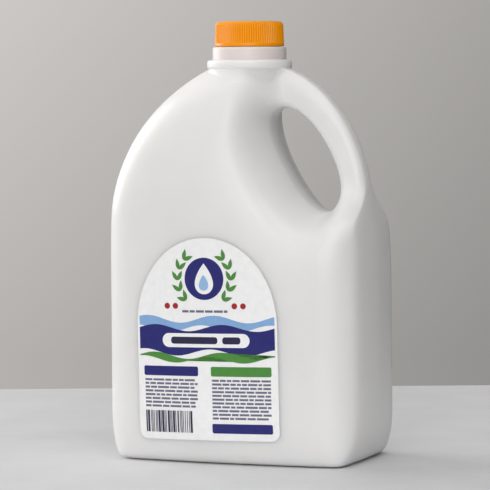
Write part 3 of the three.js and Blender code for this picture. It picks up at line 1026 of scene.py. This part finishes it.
grey_shapes = [
    *small_print(-39, -5.5, 8),
    *small_print(3.5, 39, 11),
    *bar_lines(-14, 14, 16.6, 1, 2.7, 1.3, draw),
]
inks = (
    ("print_sky", 1, sky_shapes),
    ("print_navy", 2, navy_shapes),
    ("print_green", 3, green_shapes),
    ("print_red", 2, red_shapes),
    ("print_grey", 2, grey_shapes),
    ("print_white", 3, white_shapes),
    ("print_dark", 4, dark_shapes),
    ("print_drop", 4, [inner_drop]),
)
prints = {name: ink_piece(name, layer, shapes) for name, layer, shapes in inks}
for name, piece in prints.items():
    print(name, len(piece.data.polygons), "faces")

# %% [markdown]
# ## Plastic, film and ink
#
# The jug is milky polyethylene with milk behind it: white, a little waxy, with a soft sheen. Light goes a
# few millimetres into such plastic, so it gets subsurface scattering. The mould leaves a fine orange-peel
# on the skin, and a slow unevenness in gloss. All of this is noise in object space, because noise needs
# no unwrapping and stays put when the camera moves.

# %% Material helpers
MIX_FIRST = 6
MIX_SECOND = 7
MIX_RESULT = 2


def new_material(name):
    """A material and its node tree, with the shader that Blender puts in it."""
    material = bpy.data.materials.new(name)
    material.use_nodes = True
    return material, material.node_tree, material.node_tree.nodes["Principled BSDF"]


def noise(tree, scale, detail=2.0, roughness=0.5):
    """Noise in object space. Scale counts the lumps in a metre."""
    place = tree.nodes.new("ShaderNodeTexCoord")
    texture = tree.nodes.new("ShaderNodeTexNoise")
    texture.inputs["Scale"].default_value = scale
    texture.inputs["Detail"].default_value = detail
    texture.inputs["Roughness"].default_value = roughness
    tree.links.new(place.outputs["Object"], texture.inputs["Vector"])
    return texture.outputs["Fac"]


def between(tree, factor, low, high, start=0.3, end=0.7):
    """Spreads a value over a range. Noises mostly lie between the default start and end."""
    spread = tree.nodes.new("ShaderNodeMapRange")
    spread.inputs["From Min"].default_value = start
    spread.inputs["From Max"].default_value = end
    spread.inputs["To Min"].default_value = low
    spread.inputs["To Max"].default_value = high
    tree.links.new(factor, spread.inputs["Value"])
    return spread.outputs["Result"]


def mixed(tree, factor, first, second):
    """A colour between two, by a factor from 0 to 1."""
    mix = tree.nodes.new("ShaderNodeMix")
    mix.data_type = "RGBA"
    mix.inputs[MIX_FIRST].default_value = (*first, 1)
    mix.inputs[MIX_SECOND].default_value = (*second, 1)
    tree.links.new(factor, mix.inputs["Factor"])
    return mix.outputs[MIX_RESULT]


def clouded(tree, shader, cloud, first, second):
    """Gives a shader a colour that drifts between two, as a noise does."""
    colour = mixed(tree, between(tree, cloud, 0, 1), first, second)
    tree.links.new(colour, shader.inputs["Base Color"])


def glossed(tree, shader, scale, low, high):
    """Gives a shader a gloss that drifts between two roughnesses."""
    tree.links.new(between(tree, noise(tree, scale), low, high), shader.inputs["Roughness"])


def bumped(tree, shader, height, distance):
    """Gives a shader a bump of a height in metres."""
    bump = tree.nodes.new("ShaderNodeBump")
    bump.inputs["Strength"].default_value = 1.0
    bump.inputs["Distance"].default_value = distance
    tree.links.new(height, bump.inputs["Height"])
    tree.links.new(bump.outputs["Normal"], shader.inputs["Normal"])


print("material helpers ready")

# %% Milky plastic of the jug
PEEL_LUMPS = 700
PEEL_HEIGHT = 0.00004
PLASTIC_IOR = 1.5
JUG_SCATTER = 0.010
NECK_SCATTER = 0.005


def milky_plastic(name, darker, lighter, scatter):
    """White plastic that light goes into and scatters, so many metres deep."""
    material, tree, shader = new_material(name)
    clouded(tree, shader, noise(tree, 22, 3), darker, lighter)
    glossed(tree, shader, 90, 0.36, 0.44)
    shader.inputs["Subsurface Weight"].default_value = 1.0
    shader.inputs["Subsurface Radius"].default_value = (1.0, 0.95, 0.85)
    shader.inputs["Subsurface Scale"].default_value = scatter
    shader.inputs["IOR"].default_value = PLASTIC_IOR
    bumped(tree, shader, noise(tree, PEEL_LUMPS, 3, 0.6), PEEL_HEIGHT)
    return material


jug_finishes = (
    milky_plastic("milky_plastic", (0.82, 0.82, 0.815), (0.85, 0.85, 0.845), JUG_SCATTER),
    # The neck's pinkish tint is painted light: orange glow from the cap, put into the colour, not a colour
    # of the plastic.
    milky_plastic("neck_with_painted_cap_light", (0.80, 0.735, 0.725), (0.83, 0.765, 0.755), NECK_SCATTER),
)
for finish in jug_finishes:
    jug.data.materials.append(finish)
# Faces above the collar take the neck finish, whose pink tint is painted orange light from the cap.
for face in jug.data.polygons:
    face.material_index = int(face.center.z > COLLAR_TOP_Z * MM)
print("jug finishes:", [finish.name for finish in jug_finishes])

# %% [markdown]
# The cap is solid orange all through, glossier than the jug and less sheer. A small share of scattering
# softens its ribs.

# %% Orange plastic of the cap
ORANGE_PALE = (1.0, 0.365, 0.0)
ORANGE_DEEP = (1.0, 0.345, 0.0)
ORANGE_SPECULAR = 0.3
ORANGE_SCATTER = 0.001


def orange_plastic():
    material, tree, shader = new_material("orange_plastic")
    clouded(tree, shader, noise(tree, 60, 3), ORANGE_DEEP, ORANGE_PALE)
    glossed(tree, shader, 200, 0.20, 0.26)
    shader.inputs["Specular IOR Level"].default_value = ORANGE_SPECULAR
    shader.inputs["Subsurface Weight"].default_value = 0.15
    shader.inputs["Subsurface Radius"].default_value = (1.0, 0.5, 0.1)
    shader.inputs["Subsurface Scale"].default_value = ORANGE_SCATTER
    bumped(tree, shader, noise(tree, 1500), 0.00002)
    return material


cap.data.materials.append(orange_plastic())
print("cap finish:", cap.data.materials[0].name)

# %% [markdown]
# Film and ink share one finish: satin, almost even in colour, with the slow waviness of a film that was
# rolled on. An image would also carry the bar code and the bars, but each ink here is a piece, so each
# needs only its colour.

# %% Film and inks of the label
FILM_WHITE = (0.92, 0.925, 0.935)
INK_COLOURS = {
    "print_sky": (0.23, 0.42, 0.72),
    "print_drop": (0.30, 0.50, 0.78),
    "print_navy": (0.008, 0.010, 0.16),
    "print_green": (0.065, 0.26, 0.04),
    "print_red": (0.36, 0.008, 0.016),
    "print_grey": (0.15, 0.15, 0.23),
    "print_white": FILM_WHITE,
    "print_dark": (0.012, 0.010, 0.055),
}
INK_DRIFT = 1.06
INK_LIGHTENING = 0.004
FILM_WAVES = 60
FILM_WAVE_HEIGHT = 0.00012


def printed_film(name, colour):
    """A satin film or ink: nearly even in colour, with the film's slow waviness in its gloss."""
    material, tree, shader = new_material(name)
    lighter = tuple(min(channel * INK_DRIFT + INK_LIGHTENING, 1.0) for channel in colour)
    clouded(tree, shader, noise(tree, 300, 3), colour, lighter)
    glossed(tree, shader, 120, 0.28, 0.36)
    bumped(tree, shader, noise(tree, FILM_WAVES), FILM_WAVE_HEIGHT)
    return material


film.data.materials.append(printed_film("white_film", FILM_WHITE))
for name, piece in prints.items():
    piece.data.materials.append(printed_film(name, INK_COLOURS[name]))
print("inks:", len(INK_COLOURS))

# %% [markdown]
# ## Camera, floor and light
#
# The picture was taken with a long lens, a little to the right of the front and almost level. A long lens
# keeps the walls nearly parallel. The camera is placed by its distance, height and turn, and its lens is
# worked out for a square frame.

# %% Camera
VIEW_TURN = math.radians(21.94)
VIEW_ASIDE = math.radians(0.126)
VIEW_PITCH = math.radians(3.525)
VIEW_ROLL = math.radians(0.489)
VIEW_DISTANCE = 1.623
VIEW_HEIGHT = 0.223
SENSOR_WIDTH = 36.0
FRAME_PIXELS = 490
FOCAL_PIXELS = 2800


def add_camera():
    heading = VIEW_TURN + VIEW_ASIDE
    level = Vector((-math.sin(heading), math.cos(heading), 0))
    forward = level * math.cos(VIEW_PITCH) - Vector((0, 0, math.sin(VIEW_PITCH)))
    right = Vector((math.cos(heading), math.sin(heading), 0))
    up = right.cross(forward)
    rolled_right = right * math.cos(VIEW_ROLL) - up * math.sin(VIEW_ROLL)
    rolled_up = right * math.sin(VIEW_ROLL) + up * math.cos(VIEW_ROLL)
    data = bpy.data.cameras.new("camera")
    data.sensor_width = SENSOR_WIDTH
    data.lens = data.sensor_width * FOCAL_PIXELS / FRAME_PIXELS
    camera = bpy.data.objects.new("camera", data)
    bpy.context.scene.collection.objects.link(camera)
    turn = Matrix((rolled_right, rolled_up, -forward)).transposed().to_4x4()
    aside = math.sin(VIEW_TURN) * VIEW_DISTANCE
    ahead = math.cos(VIEW_TURN) * VIEW_DISTANCE
    camera.matrix_world = Matrix.Translation((aside, -ahead, VIEW_HEIGHT)) @ turn
    bpy.context.scene.camera = camera
    return camera


camera = add_camera()
print(f"camera lens: {camera.data.lens:.0f} mm")

# %% [markdown]
# The floor is a plain pale table top, square to the camera. Its far edge is where the picture's table
# ends. One rectangle is enough: a backdrop that curves up would hide that edge.

# %% Floor
FLOOR_HALF_WIDTH = 0.5
FLOOR_BEHIND = 0.355
FLOOR_IN_FRONT = 0.30
FLOOR_DEEP = (0.66, 0.665, 0.68)
FLOOR_PALE = (0.72, 0.725, 0.74)
FLOOR_ROUGHNESS = 0.6


def add_floor():
    """A table top, square to the camera."""
    turned = Matrix.Rotation(VIEW_TURN, 3, "Z")
    corners = (
        (-FLOOR_HALF_WIDTH, -FLOOR_IN_FRONT, 0),
        (FLOOR_HALF_WIDTH, -FLOOR_IN_FRONT, 0),
        (FLOOR_HALF_WIDTH, FLOOR_BEHIND, 0),
        (-FLOOR_HALF_WIDTH, FLOOR_BEHIND, 0),
    )
    mesh = bpy.data.meshes.new("floor")
    mesh.from_pydata([turned @ Vector(corner) for corner in corners], [], [(0, 1, 2, 3)])
    floor = bpy.data.objects.new("floor", mesh)
    bpy.context.scene.collection.objects.link(floor)
    material, tree, shader = new_material("pale_floor")
    clouded(tree, shader, noise(tree, 18, 5, 0.6), FLOOR_DEEP, FLOOR_PALE)
    shader.inputs["Roughness"].default_value = FLOOR_ROUGHNESS
    mesh.materials.append(material)
    return floor


floor = add_floor()
print(f"floor width: {2 * FLOOR_HALF_WIDTH} m")

# %% [markdown]
# The light is soft. One large lamp stands near the camera and lights the front. One at the left, a little
# behind, makes the left edge glow. One high at the right lifts the recess and the handle. The world is
# pale at the left and dim at the right, so the right wall falls into an even grey shade. A picture of a
# studio could light it too, but three lamps and a two-toned world are easier to follow.

# %% Lamps and world
JUG_MIDDLE = (cad_low + cad_high) / 2
LAMP_SIZE = 0.9
LAMP_DISTANCE = 1.5
STUDIO_BLEND = (-0.12, 0.34)
STUDIO_RISE = (-0.10, 0.05)
STUDIO_LEVELS = (0.76, 1.05)
STUDIO_PALE = (0.635, 0.615, 0.594)
STUDIO_DIM = (0.085, 0.082, 0.079)


def add_lamp(name, turn, height, power):
    """A square area lamp that faces the jug, so many degrees right of its front and above its middle."""
    data = bpy.data.lights.new(name, "AREA")
    data.size = LAMP_SIZE
    data.energy = power
    turn = math.radians(turn)
    height = math.radians(height)
    aside = Vector((math.sin(turn), -math.cos(turn), 0))
    away = aside * math.cos(height) + Vector((0, 0, math.sin(height)))
    lamp = bpy.data.objects.new(name, data)
    lamp.location = JUG_MIDDLE + away * LAMP_DISTANCE
    lamp.rotation_euler = (-away).to_track_quat("-Z", "Y").to_euler()
    bpy.context.scene.collection.objects.link(lamp)
    return lamp


def reach_towards(tree, direction, axis):
    """How far a direction points along an axis, from -1 to 1."""
    reach = tree.nodes.new("ShaderNodeVectorMath")
    reach.operation = "DOT_PRODUCT"
    reach.inputs[1].default_value = axis
    tree.links.new(direction, reach.inputs[0])
    return reach.outputs["Value"]


def add_world(left, right):
    """A plain studio, lighter on the jug's left and above, darker on its right and below."""
    world = bpy.data.worlds.new("studio")
    world.use_nodes = True
    tree = world.node_tree
    direction = tree.nodes.new("ShaderNodeTexCoord").outputs["Generated"]
    sideways = reach_towards(tree, direction, (math.cos(VIEW_TURN), math.sin(VIEW_TURN), 0))
    upwards = reach_towards(tree, direction, (0, 0, 1))
    background = tree.nodes["Background"]
    colour = mixed(tree, between(tree, sideways, 0, 1, *STUDIO_BLEND), left, right)
    tree.links.new(colour, background.inputs["Color"])
    level = between(tree, upwards, *STUDIO_LEVELS, *STUDIO_RISE)
    tree.links.new(level, background.inputs["Strength"])
    bpy.context.scene.world = world


add_lamp("front_key", 21, 16, 7.8)
add_lamp("left_rim", -103, 18, 10.5)
add_lamp("top_fill", 62, 63, 6.0)
add_world(STUDIO_PALE, STUDIO_DIM)
bpy.context.scene.view_settings.view_transform = "Standard"
